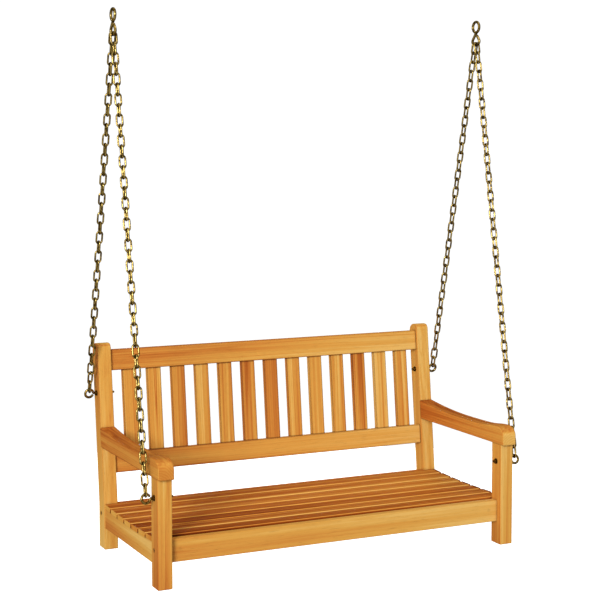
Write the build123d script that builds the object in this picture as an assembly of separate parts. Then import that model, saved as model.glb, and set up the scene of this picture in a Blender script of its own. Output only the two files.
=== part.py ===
from build123d import *
import math
import os

# Porch swing: a two-seat slatted bench that hangs on four link chains.
# Lengths are millimetres, angles degrees. The bench is laid out with z = 0 close
# to its feet, +X to the right as seen from the front, -Y to the front.
# At the end everything is shifted so that the origin is the hanging point:
# midway between the two hook loops, on the line where they bear.

# ---------------------------------------------------------------- bench frame
WIDTH = 1210.0            # over the outer faces of the legs
LEG_W = 45.5              # leg and post size along X
LEG_D = 54.0              # leg and post size along Y
FRONT_Y = -271.0          # front face of the front legs
REAR_Y = 272.0            # rear face of the rear posts, below the seat
ARM_Z = 319.0             # underside of the armrests, top of the front legs
POST_TOP = 645.5          # top of the rear posts
FOOT_Z = -5.5             # underside of the legs and posts
RAKE_Z = 135.0            # height where the rear posts start to lean back
RAKE = 0.1115             # lean, mm back for each mm up
POST_ROUND = (18.0, 27.0) # rounding of the post's upper front and rear corners

ARM_OVER = 2.0            # how far the armrest overhangs the leg on each side
ARM_FRONT = -285.0        # front end of the armrest
ARM_NOSE = (40.0, 30.0)   # rounding of the armrest's nose, along and down
ARM_TOP = 377.0           # top of the armrest where the nose begins
ARM_REAR = 382.0          # top of the armrest at the post

# ----------------------------------------------------------------- seat frame
RAIL_T = 25.0             # thickness of the seat rails
RAIL_Z0 = 64.0            # underside of the side and centre rails
SIDE_INSET = 3.0          # side rail face inside the leg face
FRONT_RAIL_SET = 21.0     # front rail face behind the leg face
FRONT_RAIL_Z = (67.0, 136.0)
REAR_RAIL_Y = (239.0, 264.0)
REAR_RAIL_Z = (67.0, 128.0)

SLAT_T = 15.0             # seat slat thickness
SLAT_GAP = 9.0
SLAT_PITCH = 64.1
SLAT_FIRST_Y = 170.5      # front edge of the rear slat
SLAT_REAR_Y = 237.0       # rear edge of the rear slat
SLAT_COUNT = 7
SEAT_Z = 141.5            # seat height at its front and rear edges
SEAT_DIP = 6.0            # hollow of the seat
SEAT_MID_Y = 11.0
SEAT_HALF = 225.0

# ----------------------------------------------------------------- back frame
BACK_SET = 10.0           # back rails behind the posts' front face
BACK_RAIL_T = 24.0
TOP_RAIL_Z = (559.0, 626.0)
LOW_RAIL_Z = (235.0, 298.0)
BACK_SLATS = 13
BACK_SLAT_W = 47.7
BACK_SLAT_PITCH = 82.8
BACK_SLAT_T = 16.0
BACK_SLAT_SET = 3.0       # slat face behind the rail face
BACK_SLAT_TENON = 12.0

# ------------------------------------------------------------------- hardware
EYE_X = 630.0             # centre of each eye ring
EYE_R = 13.0              # ring centreline radius
EYE_WIRE = 8.0            # ring
SHANK_D = 7.0             # threaded shank
EYE_HOLE = 7.4
EYE_ARC = 325.0
FRONT_EYE_Y = -243.0
REAR_EYE_Y = 284.0
SHANK_HOLE = 6.4
WASHER_D, WASHER_T = 18.0, 1.6
NUT_AF, NUT_T = 11.0, 5.0
SHANK_END = 12.0          # shank past the inner face

BOLT_D, BOLT_L = 6.0, 78.0
BOLT_HEAD_D, BOLT_HEAD_L = 10.0, 6.0
BOLT_SINK_D, BOLT_SINK = 13.0, 8.0
BARREL_D, BARREL_L = 10.0, 18.0
BOLT_Z = 106.0
DOWEL_D, DOWEL_L, DOWEL_Z = 10.0, 40.0, 86.0
SCREW_D, SCREW_HEAD_D = 4.0, 8.0

# -------------------------------------------------------------- hooks, chains
HOOK_Y = 13.7             # hanging line
HOOK_R = 26.6             # bearing arc of the lower loop, at the wire's centreline
HOOK_WIRE = 9.0
HOOK_CROSS = 12.5         # where the wire crosses over, above the centre of that arc
HOOK_TOP = 50.2           # top of the upper loop, at the wire's centreline
LOOP_Z = 1630.2           # centre of the bearing arcs: axis of the swing
LINK_WIRE = 6.0
LINK_W = 24.0             # outer width
LINK_IN = 31.55           # inner length
LINK_PITCH = 30.93
FRONT_LINKS = 44
REAR_LINKS = 37
TWIST_LINKS = 3           # links over which a rear chain takes up a quarter turn
PLAY = 0.3                # running clearance between touching wires
REAR_PLAY = 1.5           # clearance at the rear eyes, taken up when it sways

HALF = WIDTH / 2
LEG_IN = HALF - LEG_W     # inner face of legs and posts
SIDES = {"left": -1, "right": 1}
NODES = {}


def block(x0, x1, y0, y1, z0, z1):
    return Pos((x0 + x1) / 2, (y0 + y1) / 2, (z0 + z1) / 2) * Box(abs(x1 - x0), abs(y1 - y0), abs(z1 - z0))


def eased(shape, axis, radius):
    return fillet(shape.edges().filter_by(axis), radius)


def rod_x(x0, x1, y, z, d):
    return Pos((x0 + x1) / 2, y, z) * (Rot(0, 90, 0) * Cylinder(d / 2, abs(x1 - x0)))


def rod_y(x, y0, y1, z, d):
    return Pos(x, (y0 + y1) / 2, z) * (Rot(90, 0, 0) * Cylinder(d / 2, abs(y1 - y0)))


def rod_z(x, y, z0, z1, d):
    return Pos(x, y, (z0 + z1) / 2) * Cylinder(d / 2, abs(z1 - z0))


def profile_x(points, x0, x1):
    """A prism along X with a YZ outline."""
    face = Plane.YZ * make_face(Polyline(*points, close=True))
    return Pos(min(x0, x1), 0, 0) * extrude(face, amount=abs(x1 - x0))


def one(shape):
    """The single solid of a shape."""
    solids = shape.solids()
    assert len(solids) == 1, len(solids)
    return solids[0]


def post_front(z):
    return REAR_Y - LEG_D + max(0.0, z - RAKE_Z) * RAKE


# ------------------------------------------------------------ seat slat layout
def seat_top(y):
    return SEAT_Z - SEAT_DIP * (1 - ((y - SEAT_MID_Y) / SEAT_HALF) ** 2)


slats = []
for k in range(SLAT_COUNT):
    front = SLAT_FIRST_Y - k * SLAT_PITCH
    rear = SLAT_REAR_Y if k == 0 else front + SLAT_PITCH - SLAT_GAP
    mid = (front + rear) / 2
    tilt = math.atan2(seat_top(rear) - seat_top(front), rear - front)
    top = (seat_top(rear) + seat_top(front)) / 2
    slats.append({"mid": mid, "width": rear - front, "tilt": tilt, "top": top})


def slat_under(slat, y):
    """Height of the slat's flat underside at y."""
    return slat["top"] - SLAT_T / math.cos(slat["tilt"]) + (y - slat["mid"]) * math.tan(slat["tilt"])


def under_line(y0, y1):
    """The rail's upper edge from y0 to y1: one flat under each slat."""
    points = [(y0, slat_under(slats[-1], y0))]
    for slat in reversed(slats):
        half = slat["width"] / 2
        for y in (slat["mid"] - half, slat["mid"] + half):
            if y0 + 0.5 < y < y1 - 0.5:
                points.append((y, slat_under(slat, y)))
    points.append((y1, slat_under(slats[0], y1)))
    return points


# ------------------------------------------------------------- raked back frame
RAKE_DEG = math.degrees(math.atan(RAKE))
BACK = Location((0, post_front(0), RAKE_Z), (-RAKE_DEG, 0, 0))


def along_rake(z):
    return (z - RAKE_Z) / math.cos(math.radians(RAKE_DEG))


def back_block(x0, x1, n0, n1, t0, t1):
    return block(x0, x1, n0, n1, t0, t1)


top_t = [along_rake(z) for z in TOP_RAIL_Z]
low_t = [along_rake(z) for z in LOW_RAIL_Z]
rail_n = (BACK_SET, BACK_SET + BACK_RAIL_T)
slat_n = (BACK_SET + BACK_SLAT_SET, BACK_SET + BACK_SLAT_SET + BACK_SLAT_T)
tenon_n = (BACK_SET + 6, BACK_SET + BACK_RAIL_T - 6)
RAIL_TENON = 20.0

slat_x = [(i - (BACK_SLATS - 1) / 2) * BACK_SLAT_PITCH for i in range(BACK_SLATS)]


def back_slat(x):
    body = back_block(x - BACK_SLAT_W / 2, x + BACK_SLAT_W / 2, *slat_n, low_t[1], top_t[0])
    body = eased(body, Axis.Z, 2.0)
    ends = back_block(x - BACK_SLAT_W / 2 + 5, x + BACK_SLAT_W / 2 - 5, slat_n[0] + 3, slat_n[1] - 3,
                      low_t[1] - BACK_SLAT_TENON, top_t[0] + BACK_SLAT_TENON)
    return body + ends, ends


back_slats = [back_slat(x) for x in slat_x]


def back_rail(t0, t1):
    rail = eased(back_block(-LEG_IN, LEG_IN, *rail_n, t0, t1), Axis.X, 3.0)
    tenon = back_block(-LEG_IN - RAIL_TENON, LEG_IN + RAIL_TENON, *tenon_n, t0 + 10, t1 - 10)
    rail = rail + tenon
    for _, ends in back_slats:
        rail = rail - ends
    return rail, tenon


top_rail, top_tenon = back_rail(*top_t)
low_rail, low_tenon = back_rail(*low_t)
NODES["back_top_rail"] = one(BACK * top_rail)
NODES["back_lower_rail"] = one(BACK * low_rail)
for i, (slat, _) in enumerate(back_slats):
    NODES[f"back_slat_{i + 1:02d}"] = one(BACK * slat)
back_tenons = (BACK * top_tenon) + (BACK * low_tenon)

# --------------------------------------------------------------- chain geometry
# A chain runs straight from the centre of its hook loop to the centre of its eye.
TOP_WIRE = HOOK_R - HOOK_WIRE / 2 - LINK_WIRE / 2 - PLAY      # loop centre to first link's wire


def chain_length(count, play):
    """Loop centre to eye centre."""
    end_wire = EYE_R - EYE_WIRE / 2 - LINK_WIRE / 2 - play
    return TOP_WIRE + (count - 1) * LINK_PITCH + LINK_IN + LINK_WIRE + end_wire


def eye_height(eye_y, count, play):
    return LOOP_Z - math.sqrt(chain_length(count, play) ** 2 - (eye_y - HOOK_Y) ** 2)


FRONT_EYE_Z = eye_height(FRONT_EYE_Y, FRONT_LINKS, PLAY)
REAR_EYE_Z = eye_height(REAR_EYE_Y, REAR_LINKS, REAR_PLAY)
EYES = {"front": (FRONT_EYE_Y, FRONT_EYE_Z), "rear": (REAR_EYE_Y, REAR_EYE_Z)}

# ------------------------------------------------------------------- side frames
side_x = (LEG_IN + 17.0, HALF - SIDE_INSET)              # side rail, right hand
SIDE_TENON = 12.0
rail_mid_x = (side_x[0] + side_x[1]) / 2
leg_mid_x = HALF - LEG_W / 2
front_rail_y = (FRONT_Y + FRONT_RAIL_SET, FRONT_Y + FRONT_RAIL_SET + RAIL_T)
front_bolt_y = sum(front_rail_y) / 2
rear_bolt_y = sum(REAR_RAIL_Y) / 2
leg_back = FRONT_Y + LEG_D
post_face = REAR_Y - LEG_D


def mirrored(shape, s):
    """Shapes are laid out on the right; the left ones are their mirror image."""
    return shape if s > 0 else mirror(shape, Plane.YZ)


def side_tenon(y0, y1):
    return block(rail_mid_x - 7, rail_mid_x + 7, y0, y1, RAIL_Z0 + 8, RAIL_Z0 + 40)


def bolt_path(y):
    """Sunk clearance hole and dowel hole through a leg or post."""
    return (
        rod_x(HALF - BOLT_SINK, HALF + 5, y, BOLT_Z, BOLT_SINK_D)
        + rod_x(LEG_IN - 5, HALF, y, BOLT_Z, SHANK_HOLE)
        + rod_x(LEG_IN - 5, LEG_IN + DOWEL_L / 2 + 0.4, y, DOWEL_Z, DOWEL_D + 0.2)
    )


leg_tenon = block(leg_mid_x - 10, leg_mid_x + 10, FRONT_EYE_Y - 13, FRONT_EYE_Y + 13, ARM_Z - 1, ARM_Z + 20)
front_leg = block(LEG_IN, HALF, FRONT_Y, leg_back, FOOT_Z, ARM_Z)
front_leg = eased(front_leg, Axis.Z, 3.0)
front_leg = chamfer(front_leg.faces().sort_by(Axis.Z)[0].edges(), 1.5)
front_leg = (
    front_leg
    + leg_tenon
    - side_tenon(leg_back - SIDE_TENON - 0.3, leg_back + 1)
    - bolt_path(front_bolt_y)
    - rod_x(LEG_IN - 5, HALF + 5, FRONT_EYE_Y, FRONT_EYE_Z, EYE_HOLE)
)

outline = [
    (post_face, FOOT_Z),
    (post_face, RAKE_Z),
    (post_front(POST_TOP), POST_TOP),
    (post_front(POST_TOP) + LEG_D, POST_TOP),
    (REAR_Y, RAKE_Z),
    (REAR_Y, FOOT_Z),
]
post_sketch = make_face(Polyline(*outline, close=True))
for place, radius in enumerate(POST_ROUND):
    corner = post_sketch.vertices().filter_by(lambda v: abs(v.Y - POST_TOP) < 0.01).sort_by(Axis.X)[-place]
    post_sketch = fillet(corner, radius)
rear_post = Pos(LEG_IN, 0, 0) * extrude(Plane.YZ * post_sketch, amount=LEG_W)
rear_post = fillet(rear_post.faces().filter_by(Axis.X).edges(), 3.0)
ARM_TENON_Z = (333.0, 357.0)
arm_tenon = block(leg_mid_x - 9, leg_mid_x + 9, post_front(345) - 6, post_front(345) + 18, *ARM_TENON_Z)
rear_post = (
    rear_post
    - arm_tenon
    - back_tenons
    - side_tenon(post_face - 1, post_face + SIDE_TENON + 0.3)
    - bolt_path(rear_bolt_y)
    - rod_x(LEG_IN - 5, HALF + 5, REAR_EYE_Y, REAR_EYE_Z, EYE_HOLE)
)

arm_rear = post_front(ARM_REAR)
nose_y, nose_z = ARM_FRONT + ARM_NOSE[0], ARM_TOP - ARM_NOSE[1]
top_points = [(arm_rear, ARM_REAR), (125, 370.5), (25, 366.3), (-77, 366.5), (-175, 370.5), (nose_y, ARM_TOP)]
arm_lines = Curve() + [
    Spline(*top_points, tangents=[(-1, -0.12), (-1, 0.0)]),
    EllipticalCenterArc((nose_y, nose_z), *ARM_NOSE, start_angle=90, arc_size=90),
    Polyline((ARM_FRONT, nose_z), (ARM_FRONT, ARM_Z), (post_front(ARM_Z), ARM_Z), (arm_rear, ARM_REAR)),
]
arm = extrude(Plane.YZ * make_face(arm_lines), amount=LEG_W + 2 * ARM_OVER)
arm = Pos(LEG_IN - ARM_OVER, 0, 0) * arm
side_faces = arm.faces().filter_by(Axis.X)
long_edges = [e for e in side_faces.edges() if e.center().Y < post_front(ARM_Z) - 2]
arm = fillet(long_edges, 3.5)
arm = arm + arm_tenon - leg_tenon
arm = arm - profile_x(
    [(post_front(ARM_Z - 20), ARM_Z - 20), (post_front(ARM_TENON_Z[0]), ARM_TENON_Z[0]),
     (post_front(ARM_TENON_Z[0]) + 40, ARM_TENON_Z[0]), (post_front(ARM_Z - 20) + 40, ARM_Z - 20)],
    LEG_IN - 10, HALF + 10)

side_top = under_line(leg_back, post_face)
side_rail = profile_x([(post_face, RAIL_Z0), (leg_back, RAIL_Z0)] + side_top, *side_x)
side_rail = side_rail + side_tenon(leg_back - SIDE_TENON, leg_back + 1) + side_tenon(post_face - 1, post_face + SIDE_TENON)

# ------------------------------------------------------------------ cross rails
def rail_end_holes(y, sink_y):
    """Bolt, barrel nut and dowel holes in the right-hand end of a cross rail."""
    nut_x = HALF - BOLT_SINK - BOLT_L + 10
    return (
        rod_x(LEG_IN + 1, HALF - BOLT_SINK - BOLT_L - 1, y, BOLT_Z, SHANK_HOLE)
        + rod_y(nut_x, y - sink_y * (BARREL_L / 2 + 0.2), y + sink_y * 30, BOLT_Z, BARREL_D + 0.2)
        + rod_x(LEG_IN + 1, LEG_IN - DOWEL_L / 2 - 0.4, y, DOWEL_Z, DOWEL_D + 0.2)
    )


centre_y = (front_rail_y[1], REAR_RAIL_Y[0])


def centre_tenon(y0, y1):
    return block(-7, 7, y0, y1, RAIL_Z0 + 10, RAIL_Z0 + 36)


front_rail = eased(block(-LEG_IN, LEG_IN, *front_rail_y, *FRONT_RAIL_Z), Axis.X, 2.5)
rear_rail = eased(block(-LEG_IN, LEG_IN, *REAR_RAIL_Y, *REAR_RAIL_Z), Axis.X, 2.5)
for s in (1, -1):
    front_rail = front_rail - mirrored(rail_end_holes(front_bolt_y, 1), s)
    rear_rail = rear_rail - mirrored(rail_end_holes(rear_bolt_y, -1), s)
front_rail = front_rail - centre_tenon(centre_y[0] - 10.3, centre_y[0] + 1)
rear_rail = rear_rail - centre_tenon(centre_y[1] - 1, centre_y[1] + 10.3)

centre_top = under_line(slats[-1]["mid"] - slats[-1]["width"] / 2, SLAT_REAR_Y)
centre_rail = profile_x(
    [(centre_y[1], RAIL_Z0), (centre_y[0], RAIL_Z0), (centre_y[0], centre_top[0][1])]
    + centre_top + [(centre_y[1], centre_top[-1][1])], -RAIL_T / 2, RAIL_T / 2)
centre_rail = centre_rail + centre_tenon(centre_y[0] - 10, centre_y[0] + 1) + centre_tenon(centre_y[1] - 1, centre_y[1] + 10)

# -------------------------------------------------------- seat slats and screws
SLAT_END = side_x[1]
screw_x = (-rail_mid_x, 0.0, rail_mid_x)
seat_slats = []
screws = []
screw_holes = []
for k, slat in enumerate(slats):
    board = block(-SLAT_END, SLAT_END, -slat["width"] / 2, slat["width"] / 2, -SLAT_T, 0)
    board = eased(board, Axis.X, 5.0)
    board = Pos(0, slat["mid"], slat["top"]) * (Rot(math.degrees(slat["tilt"]), 0, 0) * board)
    if k == 0:
        for s in (-1, 1):
            board = board - block(s * LEG_IN, s * (HALF + 5), post_face, post_face + 60, 90, 170)
    for x in screw_x:
        tip = slat_under(slat, slat["mid"]) + 10
        head = RAIL_Z0 + 8
        screw = rod_z(x, slat["mid"], head, head + 3, SCREW_HEAD_D) + rod_z(x, slat["mid"], head + 2, tip, SCREW_D)
        hole = (rod_z(x, slat["mid"], RAIL_Z0 - 1, head + 3.1, SCREW_HEAD_D + 0.4)
                + rod_z(x, slat["mid"], head + 2, tip + 0.3, SCREW_D + 0.2))
        screws.append(one(screw))
        screw_holes.append((x, hole))
        board = board - hole
    NODES[f"seat_slat_{k + 1}"] = one(board)
for x, hole in screw_holes:
    if x > 1:
        side_rail = side_rail - hole
    elif abs(x) < 1:
        centre_rail = centre_rail - hole

for name, s in SIDES.items():
    NODES[f"{name}_front_leg"] = one(mirrored(front_leg, s))
    NODES[f"{name}_rear_post"] = one(mirrored(rear_post, s))
    NODES[f"{name}_armrest"] = one(mirrored(arm, s))
    NODES[f"{name}_side_rail"] = one(mirrored(side_rail, s))
NODES["front_seat_rail"] = one(front_rail)
NODES["rear_seat_rail"] = one(rear_rail)
NODES["centre_seat_rail"] = one(centre_rail)
NODES["slat_screws"] = screws

# --------------------------------------------------------- rail bolts and dowels
bolts, barrels, dowels = [], [], []
for y in (front_bolt_y, rear_bolt_y):
    seat_x = HALF - BOLT_SINK
    bolt = rod_x(seat_x, seat_x + BOLT_HEAD_L, y, BOLT_Z, BOLT_HEAD_D) + rod_x(seat_x - BOLT_L, seat_x + 1, y, BOLT_Z, BOLT_D)
    socket = extrude(Plane((seat_x + BOLT_HEAD_L - 3, y, BOLT_Z), z_dir=(1, 0, 0)) * RegularPolygon(2.9, 6), amount=5)
    bolt = bolt - socket
    nut_x = seat_x - BOLT_L + 10
    barrel = rod_y(nut_x, y - BARREL_L / 2, y + BARREL_L / 2, BOLT_Z, BARREL_D) - rod_x(nut_x - 20, nut_x + 20, y, BOLT_Z, BOLT_D + 0.2)
    dowel = rod_x(LEG_IN - DOWEL_L / 2, LEG_IN + DOWEL_L / 2, y, DOWEL_Z, DOWEL_D)
    for s in (1, -1):
        bolts.append(one(mirrored(bolt, s)))
        barrels.append(one(mirrored(barrel, s)))
        dowels.append(one(mirrored(dowel, s)))
NODES["rail_bolts"] = bolts
NODES["barrel_nuts"] = barrels
NODES["rail_dowels"] = dowels

# ------------------------------------------------------------- eye bolts and nuts
eye_bolts, eye_washers, eye_nuts = [], [], []
for y, z in EYES.values():
    ring = Torus(EYE_R, EYE_WIRE / 2, major_angle=EYE_ARC, align=None)
    end = math.radians(EYE_ARC)
    ring = ring + Pos(EYE_R * math.cos(end), EYE_R * math.sin(end), 0) * Sphere(EYE_WIRE / 2)
    pull = Vector(0, HOOK_Y - y, LOOP_Z - z).normalized()      # the ring is turned into the chain's line
    turned = 1 if y > 0 else -1                                # open below at the rear, above at the front
    ring = Plane((EYE_X, y, z), x_dir=(-1, 0, 0), z_dir=(0, turned * pull.Z, -turned * pull.Y)).location * ring
    eye = ring + rod_x(LEG_IN - SHANK_END, EYE_X - EYE_R, y, z, SHANK_D)
    for s in (1, -1):
        eye_bolts.append(one(mirrored(eye, s)))
    for face, way in ((HALF, 1), (LEG_IN, -1)):
        x1 = face + way * WASHER_T
        x2 = x1 + way * NUT_T
        bore = rod_x(face - 20, face + 20, y, z, SHANK_D + 0.2)
        washer = rod_x(face, x1, y, z, WASHER_D) - bore
        hexagon = extrude(Plane((min(x1, x2), y, z), z_dir=(1, 0, 0)) * RegularPolygon(NUT_AF / 2, 6, major_radius=False), amount=NUT_T)
        nut = hexagon - bore
        for s in (1, -1):
            eye_washers.append(one(mirrored(washer, s)))
            eye_nuts.append(one(mirrored(nut, s)))
NODES["eye_bolts"] = eye_bolts
NODES["eye_washers"] = eye_washers
NODES["eye_nuts"] = eye_nuts

# ---------------------------------------------------------------------- S-hooks
def bearing(angle):
    """A point of the lower loop's bearing arc, by its angle from the bottom."""
    a = math.radians(angle)
    return (HOOK_R * math.sin(a), -HOOK_R * math.cos(a))


def upper(angle):
    """A point of the oval upper loop, by its angle from the side."""
    a = math.radians(angle)
    return (19.2 * math.cos(a), HOOK_TOP - 17.3 + 17.3 * math.sin(a))


flank = [(20.5, -15.6), (20.4, -12.2), (18.4, -8.2), (13.2, -2.3), (7.2, 4.1)]
hook_line = Spline(
    *[upper(a) for a in (-62, -48, -34, -18, 0, 20, 40, 65, 90, 115, 140, 160, 180, 200, 220)],
    (-8.2, 17.5), (0.0, HOOK_CROSS), (7.0, 5.1),
    *[p for p in reversed(flank[:-1])],
    *[bearing(a) for a in (46, 34, 22, 10, -10, -22, -34, -46)],
    *[(-y, z) for y, z in flank],
)
s_hook = sweep(Plane(origin=hook_line @ 0, z_dir=hook_line % 0) * Circle(HOOK_WIRE / 2), path=hook_line)
for tip in (hook_line @ 0, hook_line @ 1):
    s_hook = s_hook + Pos(tip.X, tip.Y, 0) * Sphere(HOOK_WIRE / 2)
for name, s in SIDES.items():
    frame = Plane((s * EYE_X, HOOK_Y, LOOP_Z), x_dir=(0, 1, 0), z_dir=(1, 0, 0)).location
    NODES[f"{name}_s_hook"] = one(frame * s_hook)

# ----------------------------------------------------------------------- chains
bow = (LINK_W - LINK_WIRE) / 2                       # centreline radius of a link's bow
straight = LINK_IN + LINK_WIRE - 2 * bow             # straight run of a link
half_bow = Rot(90, 0, 0) * Torus(bow, LINK_WIRE / 2, major_angle=180, align=None)
run = Cylinder(LINK_WIRE / 2, straight)
link = (
    Pos(0, 0, straight / 2) * half_bow
    + Pos(0, 0, -straight / 2) * (Rot(0, 180, 0) * half_bow)
    + Pos(bow, 0, 0) * run
    + Pos(-bow, 0, 0) * run
)
link = one(link)


def chain(side, eye_y, eye_z, count, twist):
    """Links from the hook loop to the eye; every other link is turned a quarter."""
    d = Vector(0, eye_y - HOOK_Y, eye_z - LOOP_Z).normalized()
    across = d.cross(Vector(1, 0, 0))
    links = []
    turn = 0.0
    for k in range(count):
        if k:
            turn += 90 - (90.0 / TWIST_LINKS if twist and k >= count - TWIST_LINKS else 0)
        s = TOP_WIRE + k * LINK_PITCH + (LINK_IN + LINK_WIRE) / 2
        a = math.radians(side * turn)
        x_dir = Vector(1, 0, 0) * math.cos(a) + across * math.sin(a)
        at = Vector(side * EYE_X, HOOK_Y, LOOP_Z) + d * s
        links.append(link.moved(Plane(at, x_dir=x_dir, z_dir=d).location))
    return links


top_links = []
for name, s in SIDES.items():
    for end, count, twist in (("front", FRONT_LINKS, False), ("rear", REAR_LINKS, True)):
        links = chain(s, *EYES[end], count, twist)
        top_links.append(links[0])
        NODES[f"{name}_{end}_chain"] = links[1:]
NODES["top_links"] = top_links

# ----------------------------------------------------- origin at the hanging line
HANG_Z = LOOP_Z + HOOK_TOP - HOOK_WIRE / 2      # inside top of the upper loops
SHIFT = Pos(0, -HOOK_Y, -HANG_Z)

os.makedirs("parts", exist_ok=True)
for name, shape in NODES.items():
    if isinstance(shape, list):
        placed = Compound(children=[SHIFT * solid for solid in shape])
    else:
        placed = SHIFT * shape
    export_step(placed, f"parts/{name}.step")
print(len(NODES), "nodes; eyes", EYES, "hang", HANG_Z)
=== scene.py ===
import math

import bpy
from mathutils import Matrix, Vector


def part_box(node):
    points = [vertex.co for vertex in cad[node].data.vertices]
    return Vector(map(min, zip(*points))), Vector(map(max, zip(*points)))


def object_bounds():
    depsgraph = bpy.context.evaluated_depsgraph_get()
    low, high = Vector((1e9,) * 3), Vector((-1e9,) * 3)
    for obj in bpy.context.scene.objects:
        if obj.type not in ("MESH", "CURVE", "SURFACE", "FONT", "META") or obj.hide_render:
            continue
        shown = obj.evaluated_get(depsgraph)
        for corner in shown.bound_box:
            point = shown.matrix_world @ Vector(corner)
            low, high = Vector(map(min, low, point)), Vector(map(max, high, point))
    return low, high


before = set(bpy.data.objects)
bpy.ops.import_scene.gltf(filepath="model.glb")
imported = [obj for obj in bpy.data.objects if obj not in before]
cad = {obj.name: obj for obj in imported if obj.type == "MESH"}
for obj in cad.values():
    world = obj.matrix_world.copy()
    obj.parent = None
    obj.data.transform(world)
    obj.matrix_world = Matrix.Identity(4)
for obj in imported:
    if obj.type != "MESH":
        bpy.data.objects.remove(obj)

cad_box = [list(c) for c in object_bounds()]
scene = bpy.context.scene

FLOOR_DROP = 0.42                    # floor below the feet: a usual hanging height
RAKE = math.atan(0.1115)             # lean of the back


# ------------------------------------------------------------------ node helpers
def srgb(r, g, b):
    """Display colour 0-255 to linear RGBA."""
    def lin(c):
        c /= 255
        return c / 12.92 if c <= 0.04045 else ((c + 0.055) / 1.055) ** 2.4
    return (lin(r), lin(g), lin(b), 1.0)


def add(tree, kind, inputs=None, **settings):
    node = tree.nodes.new(kind)
    for key, value in settings.items():
        setattr(node, key, value)
    for key, value in (inputs or {}).items():
        feed(tree, node.inputs[key], value)
    return node


def feed(tree, socket, value):
    if isinstance(value, bpy.types.NodeSocket):
        tree.links.new(value, socket)
    else:
        socket.default_value = value


def calc(tree, op, *values, clamp=False):
    node = add(tree, "ShaderNodeMath", operation=op, use_clamp=clamp)
    for socket, value in zip(node.inputs, values):
        feed(tree, socket, value)
    return node.outputs[0]


def vec(tree, op, *values):
    node = add(tree, "ShaderNodeVectorMath", operation=op)
    for socket, value in zip(node.inputs, values):
        feed(tree, socket, value)
    return node.outputs["Value"] if op in ("LENGTH", "DOT_PRODUCT") else node.outputs["Vector"]


def noise(tree, vector, stretch, detail=2.0, rough=0.5, distort=0.0, colour=False):
    scaled = vec(tree, "MULTIPLY", vector, stretch)
    node = add(tree, "ShaderNodeTexNoise",
               {"Vector": scaled, "Scale": 1.0, "Detail": detail, "Roughness": rough, "Distortion": distort})
    return node.outputs["Color"] if colour else node.outputs["Fac"]


def step(tree, value, low, high):
    node = add(tree, "ShaderNodeMapRange", {"Value": value, "From Min": low, "From Max": high},
               interpolation_type="SMOOTHSTEP")
    return node.outputs["Result"]


def ramp(tree, fac, stops):
    node = add(tree, "ShaderNodeValToRGB", {"Fac": fac})
    band = node.color_ramp.elements
    while len(band) < len(stops):
        band.new(0.5)
    for element, (at, colour) in zip(band, stops):
        element.position = at
        element.color = colour
    return node.outputs["Color"]


def mix(tree, fac, a, b, kind="MIX"):
    node = add(tree, "ShaderNodeMix", data_type="RGBA", blend_type=kind)
    feed(tree, node.inputs["Factor"], fac)
    colours = [s for s in node.inputs if s.type == "RGBA"]
    feed(tree, colours[0], a)
    feed(tree, colours[1], b)
    return [s for s in node.outputs if s.type == "RGBA"][0]


# ------------------------------------------------------------------------ timber
# Oiled hardwood. X runs along the grain. Growth rings lie round a pith that is off to one side of
# each board, so a face shows long arches or straight lines; streaks, bands and pores follow the grain.
TIMBER = [
    (0.00, srgb(92, 36, 10)),
    (0.15, srgb(126, 55, 14)),
    (0.30, srgb(160, 80, 26)),
    (0.45, srgb(186, 106, 39)),
    (0.58, srgb(201, 126, 51)),
    (0.70, srgb(210, 143, 61)),
    (0.82, srgb(217, 157, 70)),
    (0.92, srgb(222, 168, 82)),
    (1.00, srgb(229, 181, 98)),
]


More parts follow.
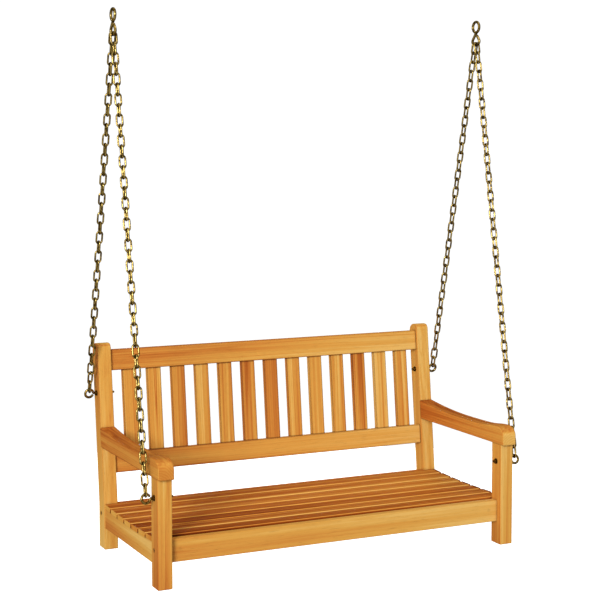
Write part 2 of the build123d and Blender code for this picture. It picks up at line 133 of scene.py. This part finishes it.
def timber_group():
    tree = bpy.data.node_groups.new("timber", "ShaderNodeTree")
    for name, kind in (("Vector", "NodeSocketVector"), ("Normal", "NodeSocketVector"), ("Pith", "NodeSocketVector"),
                       ("Seed", "NodeSocketFloat"), ("Tone", "NodeSocketFloat"), ("Slope", "NodeSocketFloat"),
                       ("Bands", "NodeSocketFloat"), ("Figure", "NodeSocketFloat"), ("WearAndEdgeShading", "NodeSocketFloat"),
                       ("Cut", "NodeSocketFloat"), ("RimShade", "NodeSocketFloat")):
        tree.interface.new_socket(name, in_out="INPUT", socket_type=kind)
    for name, kind in (("Color", "NodeSocketColor"), ("Roughness", "NodeSocketFloat"), ("Height", "NodeSocketFloat")):
        tree.interface.new_socket(name, in_out="OUTPUT", socket_type=kind)
    get = add(tree, "NodeGroupInput").outputs
    put = add(tree, "NodeGroupOutput").inputs

    seed = add(tree, "ShaderNodeCombineXYZ", {"X": calc(tree, "MULTIPLY", get["Seed"], 5.31),
                                              "Y": calc(tree, "MULTIPLY", get["Seed"], 2.17),
                                              "Z": calc(tree, "MULTIPLY", get["Seed"], 3.71)}).outputs[0]
    at = vec(tree, "ADD", get["Vector"], seed)
    wander = vec(tree, "SUBTRACT", noise(tree, at, (1.3, 7, 7), detail=2.0, colour=True), (0.5, 0.5, 0.5))
    wander = vec(tree, "MULTIPLY", wander, (0.0, 0.016, 0.016))
    at = vec(tree, "ADD", at, wander)

    across = vec(tree, "MULTIPLY", vec(tree, "ADD", vec(tree, "SUBTRACT", get["Vector"], get["Pith"]), wander), (0.0, 1.0, 1.0))
    radius = vec(tree, "LENGTH", across)
    uneven = noise(tree, vec(tree, "ADD", across, seed), (25, 25, 25), detail=1.0)
    ring = calc(tree, "FRACT", calc(tree, "MULTIPLY_ADD", radius, 150.0, calc(tree, "MULTIPLY", uneven, 2.2)))
    late = calc(tree, "MULTIPLY", step(tree, ring, 0.35, 0.92), calc(tree, "SUBTRACT", 1.0, step(tree, ring, 0.94, 1.0)))

    broad = calc(tree, "SUBTRACT", noise(tree, at, (0.9, 15, 15), detail=2.0), 0.5)
    band = calc(tree, "SUBTRACT", noise(tree, at, (0.5, 46, 46), detail=1.0), 0.5)
    streak = calc(tree, "SUBTRACT", noise(tree, at, (0.7, 105, 105), detail=2.0, rough=0.6), 0.5)
    vein = calc(tree, "SUBTRACT", 1.0, step(tree, calc(tree, "ABSOLUTE", calc(tree, "SUBTRACT", noise(tree, at, (0.35, 34, 34), detail=1.0), 0.56)), 0.0, 0.022))
    fibre = calc(tree, "SUBTRACT", noise(tree, at, (2.2, 170, 170), detail=4.0, rough=0.62), 0.5)
    pore = step(tree, noise(tree, at, (26, 1100, 1100), detail=2.0), 0.60, 0.74)

    faces = add(tree, "ShaderNodeSeparateXYZ", {"Vector": vec(tree, "ABSOLUTE", get["Normal"])}).outputs
    end = step(tree, faces["X"], 0.72, 0.95)
    flat = calc(tree, "MAXIMUM", faces["X"], calc(tree, "MAXIMUM", faces["Y"], faces["Z"]))
    edge = calc(tree, "SUBTRACT", 1.0, step(tree, calc(tree, "MULTIPLY_ADD", noise(tree, at, (9, 60, 60)), 0.06, flat), 0.80, 0.985))
    speck = step(tree, noise(tree, at, (500, 900, 900), detail=1.0), 0.52, 0.70)

    along = add(tree, "ShaderNodeSeparateXYZ", {"Vector": get["Vector"]}).outputs["X"]
    tone = calc(tree, "MULTIPLY_ADD", along, get["Slope"], get["Tone"])
    tone = calc(tree, "MULTIPLY_ADD", broad, 0.36, tone)
    # the arrises are lightened or darkened by the Worn input: partly edge wear, partly a painted highlight (positive)
    # or a painted dark outline (negative)
    tone = calc(tree, "MULTIPLY_ADD", edge, get["WearAndEdgeShading"], tone)
    side = calc(tree, "MULTIPLY_ADD", band, get["Bands"], tone)
    side = calc(tree, "MULTIPLY_ADD", streak, calc(tree, "MULTIPLY", get["Bands"], 0.8), side)
    side = calc(tree, "MULTIPLY_ADD", vein, calc(tree, "MULTIPLY", get["Bands"], -0.22), side)
    side = calc(tree, "MULTIPLY_ADD", fibre, 0.30, side)
    side = calc(tree, "SUBTRACT", side, calc(tree, "MULTIPLY", late, get["Figure"]))
    cut = calc(tree, "SUBTRACT", calc(tree, "ADD", tone, get["Cut"]), calc(tree, "MULTIPLY", late, 0.09))
    cut = calc(tree, "SUBTRACT", cut, calc(tree, "MULTIPLY", speck, 0.10))
    grain = add(tree, "ShaderNodeMix", {"Factor": end, "A": side, "B": cut}, data_type="FLOAT").outputs["Result"]

    colour = ramp(tree, grain, TIMBER)
    colour = mix(tree, calc(tree, "MULTIPLY", pore, calc(tree, "MULTIPLY_ADD", end, -0.30, 0.34)), colour, srgb(96, 42, 16))
    # painted shade: the colour darkens to deep brown in corners and between parts, within 16 mm of other surfaces
    corner = add(tree, "ShaderNodeAmbientOcclusion", {"Distance": 0.016}, samples=6).outputs["AO"]
    corner_shade = calc(tree, "MULTIPLY", calc(tree, "SUBTRACT", 1.0, step(tree, corner, 0.25, 0.80)), 0.62)
    colour = mix(tree, corner_shade, colour, srgb(82, 34, 12))
    # painted shade: a dark outline painted along the arrises, as strong as the Rim input
    arris = add(tree, "ShaderNodeAmbientOcclusion", {"Distance": 0.0046}, samples=8, inside=True, only_local=True).outputs["AO"]
    rim_shade = calc(tree, "MULTIPLY", calc(tree, "SUBTRACT", 1.0, step(tree, arris, 0.62, 0.985)), calc(tree, "MULTIPLY_ADD", noise(tree, at, (14, 70, 70)), 0.6, 0.7, clamp=True))
    colour = mix(tree, calc(tree, "MULTIPLY", rim_shade, get["RimShade"]), colour, srgb(62, 28, 8))
    feed(tree, put["Color"], colour)

    rough = calc(tree, "MULTIPLY_ADD", fibre, 0.30, 0.47)
    rough = calc(tree, "MULTIPLY_ADD", pore, 0.12, rough)
    feed(tree, put["Roughness"], calc(tree, "MULTIPLY_ADD", end, 0.16, rough, clamp=True))
    height = calc(tree, "MULTIPLY_ADD", fibre, 0.8, calc(tree, "MULTIPLY", late, 0.35))
    height = calc(tree, "SUBTRACT", height, calc(tree, "MULTIPLY", pore, 0.7))
    feed(tree, put["Height"], calc(tree, "SUBTRACT", height, calc(tree, "MULTIPLY", calc(tree, "MULTIPLY", speck, end), 0.6)))
    return tree


timber = timber_group()
TURN = {
    "x": (0.0, 0.0, 0.0),
    "y": (0.0, 0.0, -math.pi / 2),
    "z": (0.0, math.pi / 2, 0.0),
    "back": (RAKE, math.pi / 2, 0.0),
    "post": (RAKE * 0.6, math.pi / 2, 0.0),
}


def wood(name, axis, seed, tone, slope=0.0, bands=0.30, figure=0.10, pith=(0.03, 0.09), wear_and_edge_shading=0.10, side_shading=(0.0, 0.0), cut=0.10, rim_shade=0.12,
         gloss=0.12, painted_end_shade=0.0):
    """Grain along axis, counted from the middle of the piece. flank is painted light and shade: how much the faces to
    the left and right differ in tone from the rest, and how that changes up the piece; cut is how much the end grain
    differs; rim is the strength of a painted dark outline along the arrises (painted shade); gloss is the strength of
    the shine; ends is how much the last few millimetres at the far end differ in tone, used as a painted dark outline
    (painted shade) at that end."""
    low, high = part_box(name)
    middle = (low + high) / 2
    material = bpy.data.materials.new(name + "_wood")
    material.use_nodes = True
    tree = material.node_tree
    tree.nodes.clear()
    coord = add(tree, "ShaderNodeTexCoord")
    centred = vec(tree, "SUBTRACT", coord.outputs["Object"], tuple(middle))
    grain = add(tree, "ShaderNodeMapping", {"Vector": centred, "Rotation": TURN[axis]}, vector_type="POINT")
    normal = add(tree, "ShaderNodeMapping", {"Vector": coord.outputs["Normal"], "Rotation": TURN[axis]}, vector_type="VECTOR")
    # painted light and shade: the left and right faces made lighter or darker than the rest, changing with height
    if any(side_shading):
        sideways = calc(tree, "ABSOLUTE", add(tree, "ShaderNodeSeparateXYZ", {"Vector": coord.outputs["Normal"]}).outputs["X"])
        height = add(tree, "ShaderNodeSeparateXYZ", {"Vector": centred}).outputs["Z"]
        tone = calc(tree, "MULTIPLY_ADD", step(tree, sideways, 0.6, 0.95), calc(tree, "MULTIPLY_ADD", height, side_shading[1], side_shading[0]), tone)
    # painted shade: a dark outline painted on the top and side faces in the last few millimetres before the far end
    if painted_end_shade:
        half = max(high - low) / 2
        along = add(tree, "ShaderNodeSeparateXYZ", {"Vector": grain.outputs[0]}).outputs["X"]
        facing = calc(tree, "ABSOLUTE", add(tree, "ShaderNodeSeparateXYZ", {"Vector": normal.outputs[0]}).outputs["X"])
        end_shade = calc(tree, "MULTIPLY", step(tree, along, half - 0.009, half - 0.003), calc(tree, "SUBTRACT", 1.0, step(tree, facing, 0.75, 0.95)))
        tone = calc(tree, "MULTIPLY_ADD", end_shade, painted_end_shade, tone)
    board = add(tree, "ShaderNodeGroup", node_tree=timber)
    for key, value in (("Vector", grain.outputs[0]), ("Normal", normal.outputs[0]), ("Pith", (0.0, *pith)), ("Seed", seed), ("Tone", tone),
                       ("Slope", slope), ("Bands", bands), ("Figure", figure), ("WearAndEdgeShading", wear_and_edge_shading), ("Cut", cut), ("RimShade", rim_shade)):
        feed(tree, board.inputs[key], value)
    bump = add(tree, "ShaderNodeBump", {"Height": board.outputs["Height"], "Strength": 0.45, "Distance": 0.0005})
    shader = add(tree, "ShaderNodeBsdfPrincipled", {
        "Base Color": board.outputs["Color"], "Roughness": board.outputs["Roughness"], "Normal": bump.outputs["Normal"],
        "Specular IOR Level": gloss})
    out = add(tree, "ShaderNodeOutputMaterial", {"Surface": shader.outputs["BSDF"]})
    return material


def paint(node, material):
    mesh = cad[node].data
    mesh.materials.clear()
    mesh.materials.append(material)


# name: grain axis, tone, slope of tone along the grain per metre, strength of the bands, ring contrast, pith, edge wear
# with a painted highlight or dark outline on the arrises (worn), then flank (painted light and shade on the side
# faces), cut, rim, gloss and ends as in wood()
BOARDS = {
    # rails: negative worn and a strong rim paint a dark outline along the arrises (painted shade)
    "back_top_rail": ("x", 0.79, 0.33, 0.55, 0.06, (0.01, -0.10), -0.30, (0.0, 0.0), 0.10, 0.72),
    "back_lower_rail": ("x", 0.80, 0.36, 0.36, 0.05, (0.02, 0.12), -0.30, (0.0, 0.0), 0.10, 0.80),
    # legs and posts: flank paints shade on the left and right faces, darker higher up the rear posts
    "left_front_leg": ("z", 0.79, 0.90, 0.60, 0.06, (0.05, 0.07), -0.10, (-0.14, 0.0)),
    "right_front_leg": ("z", 0.95, 0.60, 0.48, 0.06, (-0.06, 0.05), -0.10, (-0.32, 0.0)),
    "left_rear_post": ("post", 0.90, 0.18, 0.45, 0.05, (0.09, 0.03), -0.20, (-0.06, -0.75), 0.10, 0.30),
    "right_rear_post": ("post", 0.96, 0.0, 0.45, 0.05, (0.08, -0.04), -0.20, (-0.16, -0.1), 0.10, 0.30),
    # armrests: tone set low so the tops read darker, partly painted shade on the tops; flank lifts the left and right
    # faces (painted light)
    "left_armrest": ("y", 0.585, -0.30, 0.60, 0.07, (0.03, -0.05), 0.06, (0.04, 0.0), 0.02, 0.34, 0.05),
    "right_armrest": ("y", 0.53, -0.46, 0.60, 0.07, (-0.02, -0.06), 0.02, (0.09, 0.0), 0.34, 0.34, 0.05),
    "left_side_rail": ("y", 0.79, -0.86, 0.46, 0.06, (0.06, 0.03), 0.05),
    "right_side_rail": ("y", 0.80, -0.30, 0.46, 0.06, (0.06, -0.03), 0.05),
    "front_seat_rail": ("x", 0.85, 0.27, 0.40, 0.05, (-0.09, 0.05), -0.06),
    "rear_seat_rail": ("x", 0.74, 0.0, 0.45, 0.06, (0.09, 0.05), -0.10),
    "centre_seat_rail": ("y", 0.70, 0.0, 0.45, 0.06, (0.05, 0.05), -0.10),
    "rail_dowels": ("x", 0.80, 0.0, 0.30, 0.04, (0.02, 0.02), 0.0),
}
# tone of each back slat, the strength of its bands and the slope of tone up the slat
for i, (tone, bands, slope) in enumerate([
        (0.72, 0.78, 0.0), (0.97, 1.20, 0.0), (0.64, 0.52, 0.1), (0.84, 1.00, 0.2), (0.73, 1.00, -0.4), (0.55, 0.72, -0.35),
        (0.58, 0.34, -0.3), (0.74, 0.95, 0.0), (0.85, 0.80, 0.0), (0.73, 1.05, 0.0), (0.68, 0.95, -0.8), (1.06, 0.90, -0.3),
        (0.78, 1.05, 0.0)]):
    pith = (0.04 - 0.11 * (i % 3), 0.05 + 0.03 * (i % 4))
    # back slats: negative worn and a strong rim paint a dark outline along the arrises (painted shade)
    BOARDS[f"back_slat_{i + 1:02d}"] = ("back", tone, slope, bands, 0.09, pith, -0.30, (0.0, 0.0), 0.10, 0.80)
# seat slats: tones set low so the seat tops read dark (painted shade on the tops); worn 0.52 lightens the arrises,
# partly wear and partly a painted highlight; cut 0.40 keeps the end faces light
for i, tone in enumerate([0.52, 0.57, 0.52, 0.57, 0.37, 0.54, 0.36]):
    pith = (0.02 - 0.03 * (i % 3), -0.07 - 0.02 * (i % 2))
    BOARDS[f"seat_slat_{i + 1}"] = ("x", tone, 0.13, 0.60, 0.07, pith, 0.52, (0.0, 0.0), 0.40, 0.0, 0.03, -0.80)

for i, (node, settings) in enumerate(BOARDS.items()):
    axis, *rest = settings
    paint(node, wood(node, axis, 47.3 if node == "back_slat_07" else 1.0 + 0.83 * i, *rest))


# ------------------------------------------------------------------------- metal
def metal(name, bright, aged, dark, rim_shade, rough, size):
    """Plated or solid metal: cloudy ageing, fine drawing marks, dark patina and painted shade where pieces meet."""
    material = bpy.data.materials.new(name)
    material.use_nodes = True
    tree = material.node_tree
    tree.nodes.clear()
    place = add(tree, "ShaderNodeTexCoord").outputs["Object"]
    cloud = noise(tree, place, (size, size, size), detail=3.0, rough=0.6)
    fine = noise(tree, place, (1500, 1500, 1500), detail=2.0)
    colour = mix(tree, step(tree, cloud, 0.38, 0.66), bright, aged)
    # dark patina in the hollows and painted shade where pieces meet or lie near other surfaces, within 10 mm
    corner = add(tree, "ShaderNodeAmbientOcclusion", {"Distance": 0.010}, samples=6).outputs["AO"]
    patina_and_shade = calc(tree, "SUBTRACT", 1.0, step(tree, calc(tree, "MULTIPLY_ADD", fine, 0.16, corner), 0.50, 0.98))
    colour = mix(tree, calc(tree, "MULTIPLY", patina_and_shade, 0.88), colour, dark)
    shine = calc(tree, "MULTIPLY_ADD", step(tree, cloud, 0.35, 0.7), 0.14, rough)
    shine = calc(tree, "MULTIPLY_ADD", patina_and_shade, 0.22, shine)
    bump = add(tree, "ShaderNodeBump", {"Height": calc(tree, "MULTIPLY_ADD", cloud, 0.7, calc(tree, "MULTIPLY", fine, 0.3)),
                                        "Strength": 0.12, "Distance": 0.0003})
    shader = add(tree, "ShaderNodeBsdfPrincipled", {
        "Base Color": colour, "Roughness": shine, "Normal": bump.outputs["Normal"], "Metallic": 1.0, "Specular Tint": rim_shade})
    out = add(tree, "ShaderNodeOutputMaterial", {"Surface": shader.outputs["BSDF"]})
    return material


brass = metal("aged_brass", srgb(202, 174, 100), srgb(90, 69, 26), srgb(9, 5, 0), srgb(56, 40, 12), 0.30, 90.0)
fittings = metal("dark_brass", srgb(172, 142, 74), srgb(86, 65, 24), srgb(12, 7, 0), srgb(56, 40, 12), 0.26, 140.0)
zinc = metal("dull_zinc", srgb(150, 144, 134), srgb(104, 98, 90), srgb(36, 32, 28), srgb(190, 186, 178), 0.36, 160.0)
for node in ("left_front_chain", "right_front_chain", "left_rear_chain", "right_rear_chain", "top_links", "left_s_hook", "right_s_hook"):
    paint(node, brass)
for node in ("eye_bolts", "eye_nuts", "eye_washers"):
    paint(node, fittings)
for node in ("rail_bolts", "barrel_nuts", "slat_screws"):
    paint(node, zinc)

# ------------------------------------------------------------------------- stage
feet = cad_box[0][2]
bpy.ops.mesh.primitive_circle_add(vertices=96, radius=3.6, fill_type="NGON", location=(0, 0, feet - FLOOR_DROP))
floor = bpy.context.object
floor.name = "floor"
pale = bpy.data.materials.new("pale_floor")
pale.use_nodes = True
tree = pale.node_tree
tree.nodes.clear()
grit = noise(tree, add(tree, "ShaderNodeTexCoord").outputs["Object"], (6, 6, 6), detail=4.0)
tint = ramp(tree, grit, [(0.3, (0.80, 0.80, 0.795, 1)), (0.7, (0.84, 0.84, 0.835, 1))])
far = vec(tree, "LENGTH", add(tree, "ShaderNodeTexCoord").outputs["Object"])
glow = add(tree, "ShaderNodeMapRange", {"Value": far, "From Min": 0.8, "From Max": 3.4, "To Min": 0.85, "To Max": 1.0}).outputs["Result"]
shader = add(tree, "ShaderNodeBsdfPrincipled", {"Base Color": tint, "Roughness": 0.9, "Specular IOR Level": 0.1,
                                                "Emission Color": (1, 1, 1, 1), "Emission Strength": glow})
add(tree, "ShaderNodeOutputMaterial", {"Surface": shader.outputs["BSDF"]})
floor.data.materials.append(pale)
floor.visible_diffuse = False        # the floor is only a backdrop: it throws no light up at the bench
floor.visible_glossy = False

# White backdrop; the light of the room itself is dimmer: brightest in front, to the left and above, darkest behind.
world = bpy.data.worlds.new("studio")
scene.world = world
world.use_nodes = True
tree = world.node_tree
tree.nodes.clear()
ahead = vec(tree, "DOT_PRODUCT", add(tree, "ShaderNodeTexCoord").outputs["Generated"], (-0.54, -0.79, 0.28))
room = ramp(tree, calc(tree, "MULTIPLY_ADD", ahead, 0.5, 0.5), [
    (0.0, (0.05, 0.05, 0.05, 1)), (0.28, (0.10, 0.10, 0.10, 1)), (0.5, (0.40, 0.40, 0.39, 1)), (1.0, (0.50, 0.49, 0.48, 1))])
seen = add(tree, "ShaderNodeLightPath").outputs["Is Camera Ray"]
light = add(tree, "ShaderNodeBackground", {"Color": mix(tree, seen, room, (1.06, 1.06, 1.06, 1.0)), "Strength": 1.0})
add(tree, "ShaderNodeOutputWorld", {"Surface": light.outputs[0]})


def softbox(name, at, aim, size, power, colour=(1, 1, 1)):
    data = bpy.data.lights.new(name, "AREA")
    data.shape = "RECTANGLE"
    data.size, data.size_y = size
    data.energy = power
    data.color = colour
    lamp = bpy.data.objects.new(name, data)
    lamp.location = at
    lamp.rotation_euler = (Vector(aim) - Vector(at)).to_track_quat("-Z", "Y").to_euler()
    scene.collection.objects.link(lamp)
    return lamp


softbox("key_box", (-11.35, -12.15, 3.9), (0.0, 0.0, -1.2), (5.6, 5.6), 2530)
back_box = softbox("back_box", (3.0, 9.0, -1.3), (0.0, 0.0, -1.2), (5.0, 5.0), 900, (1.0, 0.93, 0.84))
back_box.visible_glossy = False      # it only lifts the shade behind the bench
softbox("top_box", (0.6, -0.6, 4.0), (0.0, 0.0, -1.2), (3.0, 3.0), 54, (1.0, 0.88, 0.68))

# ------------------------------------------------------------------------ camera
lens = bpy.data.cameras.new("camera")
lens.sensor_width = 36.0
lens.lens = 91.6699
lens.shift_y = -0.08
lens.clip_start, lens.clip_end = 0.1, 200.0
camera = bpy.data.objects.new("camera", lens)
camera.location = (-2.09098, -4.36148, -0.36766)
camera.rotation_euler = (math.radians(90 - 4.3931), 0.0, math.radians(-25.4396))
scene.collection.objects.link(camera)
scene.camera = camera

scene.view_settings.view_transform = "Standard"
scene.view_settings.look = "None"
